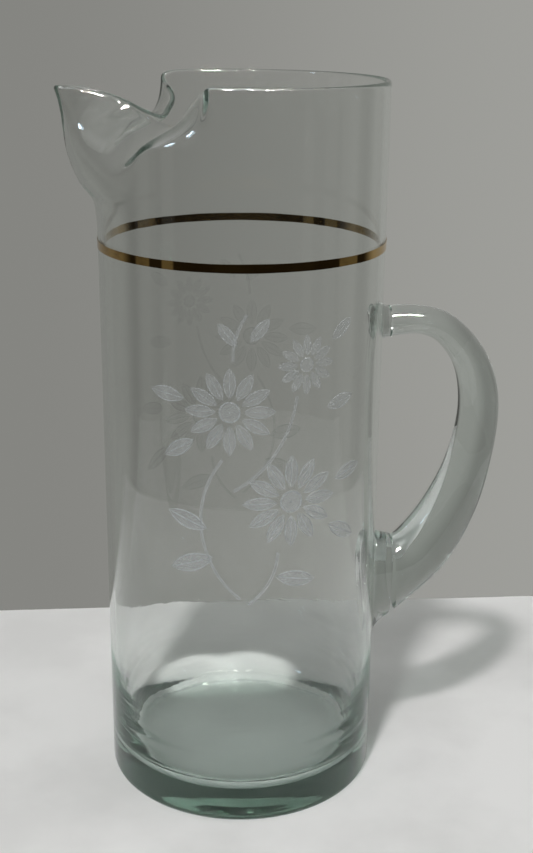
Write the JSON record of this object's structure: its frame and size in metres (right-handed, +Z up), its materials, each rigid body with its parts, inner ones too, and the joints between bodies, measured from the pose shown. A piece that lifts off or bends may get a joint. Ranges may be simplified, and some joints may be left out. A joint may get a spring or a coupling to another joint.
{
  "type": "cocktail pitcher",
  "caption": "Tall straight-sided clear glass cocktail pitcher with a pinched pouring lip, a drawn side handle, a gold band and white enamel flower sprays.",
  "frame": {"origin": "centre of the foot, on the surface that the pitcher stands on", "axes": "+Z up along the body's axis, +X towards the handle, -X towards the spout"},
  "size_m": [0.1517, 0.0954, 0.2451],
  "materials": {
    "vessel_glass": "clear soda glass, faintly green where thick, fire-polished",
    "handle_glass": "clear soda glass, green where thick, fire-polished",
    "gold_lustre": "fired bright gold, mirror-like",
    "white_enamel": "fired white enamel, frosted and a little see-through"
  },
  "bodies": {
    "root": {"vessel": "vessel_glass", "handle": "handle_glass", "upper_handle_seal": "handle_glass", "lower_handle_seal": "handle_glass", "gold_band": "gold_lustre", "front_blossoms": "white_enamel", "front_leaves": "white_enamel", "front_stems": "white_enamel", "back_blossoms": "white_enamel", "back_leaves": "white_enamel", "back_stems": "white_enamel"}
  },
  "joints": []
}
